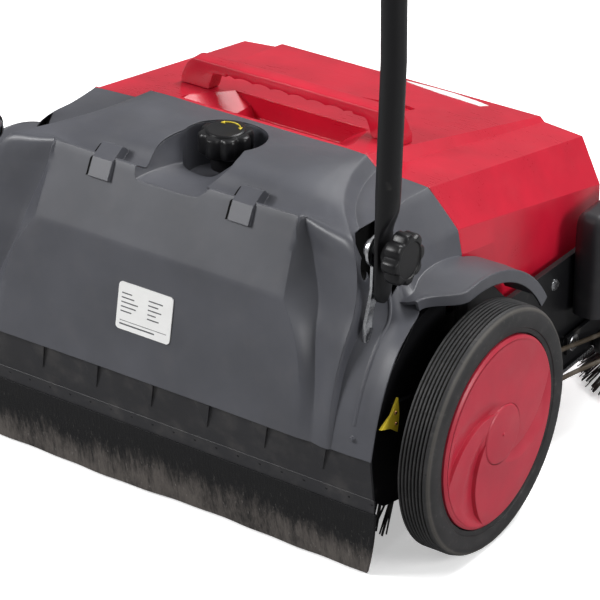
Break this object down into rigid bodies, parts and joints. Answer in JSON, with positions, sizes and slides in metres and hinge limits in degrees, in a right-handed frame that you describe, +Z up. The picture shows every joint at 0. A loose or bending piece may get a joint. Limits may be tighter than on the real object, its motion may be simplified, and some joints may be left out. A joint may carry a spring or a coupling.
{
  "type": "walk behind sweeper",
  "caption": "Hand-pushed floor sweeper with a driven cylindrical broom, side brooms, a lift-out hopper and a folding handle.",
  "frame": {"origin": "on the floor, in the middle of the machine's footprint (the wheel axle is 163.5 mm behind it)", "axes": "+X to the operator's right along the wheel axle, +Y forwards towards the hopper and side brooms, +Z up"},
  "size_m": [0.756, 0.605, 1.067],
  "materials": {
    "cover_plastic": "fine-textured dark grey moulded plastic",
    "hopper_red": "satin red moulded plastic",
    "hub_red": "satin red moulded plastic with dust",
    "black_plastic": "satin black moulded plastic",
    "black_steel": "black powder coat",
    "bright_steel": "zinc plated",
    "gear_plastic": "moulded nylon",
    "tyre": "ribbed grey-black rubber",
    "yellow_plastic": "satin yellow plastic",
    "flap_rubber": "worn dusty rubber sheet",
    "belt": "round polyurethane cord",
    "bristle": "dense nylon bristle",
    "foam": "closed-cell foam grip",
    "label_white": "printed polyester label on a thin plate"
  },
  "bodies": {
    "chassis": {"rear_cover": "cover_plastic", "side_frame_right": "black_steel", "side_frame_left": "black_steel", "front_crossmember": "black_steel", "rear_apron": "cover_plastic", "flap_clamp_strip": "bright_steel", "axle_right": "bright_steel", "axle_left": "bright_steel", "handle_bracket_right": "bright_steel", "handle_bracket_left": "bright_steel", "type_plate": "label_white", "side_cover_right": "cover_plastic", "side_cover_left": "cover_plastic", "arm_pin_right": "bright_steel", "arm_pin_left": "bright_steel", "pivot_bolt_right": "bright_steel", "pivot_bolt_left": "bright_steel", "drive_belt_right": "belt", "drive_belt_left": "belt"},
    "carrier": {"broom_carrier": "black_steel", "height_pointer_right": "yellow_plastic", "height_pointer_left": "yellow_plastic"},
    "main_broom": {"broom_core": "gear_plastic", "broom_bristles": "bristle", "broom_pinion_right": "gear_plastic", "broom_pinion_left": "gear_plastic"},
    "height_adjuster": {"height_knob": "black_plastic", "height_cam": "gear_plastic"},
    "wheel_right": {"tyre_right": "tyre", "wheel_rim_right": "gear_plastic", "hub_cap_right": "hub_red"},
    "wheel_left": {"tyre_left": "tyre", "wheel_rim_left": "gear_plastic", "hub_cap_left": "hub_red"},
    "handle": {"handle_leg_right": "black_steel", "handle_leg_left": "black_steel", "handle_bar": "black_steel", "handle_grip": "foam", "handle_coupler_right": "black_plastic", "handle_coupler_left": "black_plastic"},
    "clamp_knob_right": {"star_knob_right": "black_plastic"},
    "clamp_knob_left": {"star_knob_left": "black_plastic"},
    "hopper": {"hopper_tub": "hopper_red", "hopper_grip": "hopper_red", "grip_screw_right": "bright_steel", "grip_screw_left": "bright_steel"},
    "broom_arm_right": {"side_arm_right": "black_steel"},
    "broom_arm_left": {"side_arm_left": "black_steel"},
    "side_broom_right": {"side_disc_right": "black_plastic", "side_bristles_right": "bristle"},
    "side_broom_left": {"side_disc_left": "black_plastic", "side_bristles_left": "bristle"},
    "caster_right": {"caster_fork_right": "bright_steel"},
    "caster_left": {"caster_fork_left": "bright_steel"},
    "caster_roll_right": {"caster_wheel_right": "black_plastic"},
    "caster_roll_left": {"caster_wheel_left": "black_plastic"},
    "roller_right": {"frame_roller_right": "black_plastic"},
    "roller_left": {"frame_roller_left": "black_plastic"},
    "flap": {"rubber_flap": "flap_rubber"}
  },
  "joints": [
    {"name": "wheel_right_spin", "type": "hinge", "parent": "chassis", "child": "wheel_right", "pos_m": [0.3, -0.1635, 0.125], "axis": [1, 0, 0], "continuous": true},
    {"name": "wheel_left_spin", "type": "hinge", "parent": "chassis", "child": "wheel_left", "pos_m": [-0.3, -0.1635, 0.125], "axis": [1, 0, 0], "continuous": true},
    {"name": "carrier_tilt", "type": "hinge", "parent": "chassis", "child": "carrier", "pos_m": [0, -0.1635, 0.125], "axis": [1, 0, 0], "range_deg": [-4, 4]},
    {"name": "main_broom_spin", "type": "hinge", "parent": "carrier", "child": "main_broom", "pos_m": [0, -0.1915, 0.08601], "axis": [1, 0, 0], "continuous": true},
    {"name": "height_knob_turn", "type": "hinge", "parent": "chassis", "child": "height_adjuster", "pos_m": [0, -0.1635, 0.35], "axis": [0, 0, 1], "range_deg": [-150, 150]},
    {"name": "handle_fold", "type": "hinge", "parent": "chassis", "child": "handle", "pos_m": [0, -0.2435, 0.328], "axis": [1, 0, 0], "range_deg": [-88, 60]},
    {"name": "clamp_knob_right_turn", "type": "hinge", "parent": "chassis", "child": "clamp_knob_right", "pos_m": [0.25, -0.2435, 0.328], "axis": [1, 0, 0], "range_deg": [-360, 0]},
    {"name": "clamp_knob_left_turn", "type": "hinge", "parent": "chassis", "child": "clamp_knob_left", "pos_m": [-0.25, -0.2435, 0.328], "axis": [1, 0, 0], "range_deg": [0, 360]},
    {"name": "hopper_lift", "type": "slide", "parent": "chassis", "child": "hopper", "axis": [0, 0, 1], "range_m": [0, 0.3]},
    {"name": "side_arm_right_lift", "type": "hinge", "parent": "chassis", "child": "broom_arm_right", "pos_m": [0.259, 0.0745, 0.096], "axis": [1, 0, 0], "range_deg": [0, 10], "deforming": ["drive_belt_right"]},
    {"name": "side_broom_right_spin", "type": "hinge", "parent": "broom_arm_right", "child": "side_broom_right", "pos_m": [0.29, 0.2145, 0.06], "axis": [0, 0, 1], "continuous": true},
    {"name": "side_arm_left_lift", "type": "hinge", "parent": "chassis", "child": "broom_arm_left", "pos_m": [-0.259, 0.0745, 0.096], "axis": [1, 0, 0], "range_deg": [0, 10], "deforming": ["drive_belt_left"]},
    {"name": "side_broom_left_spin", "type": "hinge", "parent": "broom_arm_left", "child": "side_broom_left", "pos_m": [-0.29, 0.2145, 0.06], "axis": [0, 0, 1], "continuous": true},
    {"name": "caster_right_swivel", "type": "hinge", "parent": "chassis", "child": "caster_right", "pos_m": [0.075, 0.2005, 0.1], "axis": [0, 0, 1], "continuous": true},
    {"name": "caster_right_spin", "type": "hinge", "parent": "caster_right", "child": "caster_roll_right", "pos_m": [0.075, 0.1785, 0.0375], "axis": [1, 0, 0], "continuous": true},
    {"name": "caster_left_swivel", "type": "hinge", "parent": "chassis", "child": "caster_left", "pos_m": [-0.075, 0.2005, 0.1], "axis": [0, 0, 1], "continuous": true},
    {"name": "caster_left_spin", "type": "hinge", "parent": "caster_left", "child": "caster_roll_left", "pos_m": [-0.075, 0.1785, 0.0375], "axis": [1, 0, 0], "continuous": true},
    {"name": "roller_right_spin", "type": "hinge", "parent": "chassis", "child": "roller_right", "pos_m": [0.258, 0.1425, 0.067], "axis": [1, 0, 0], "continuous": true},
    {"name": "roller_left_spin", "type": "hinge", "parent": "chassis", "child": "roller_left", "pos_m": [-0.258, 0.1425, 0.067], "axis": [1, 0, 0], "continuous": true},
    {"name": "flap_swing", "type": "hinge", "parent": "chassis", "child": "flap", "pos_m": [0, -0.2868, 0.08], "axis": [1, 0, 0], "range_deg": [-55, 12], "stiffness_Nm_per_rad": 1.5}
  ],
  "couplings": [
    {"joint": "main_broom_spin", "follows": "wheel_right_spin", "ratio": 2.3333},
    {"joint": "side_broom_right_spin", "follows": "wheel_right_spin", "ratio": -1.5},
    {"joint": "side_broom_left_spin", "follows": "wheel_left_spin", "ratio": 1.5},
    {"joint": "height_knob_turn", "follows": "carrier_tilt", "ratio": 35}
  ]
}
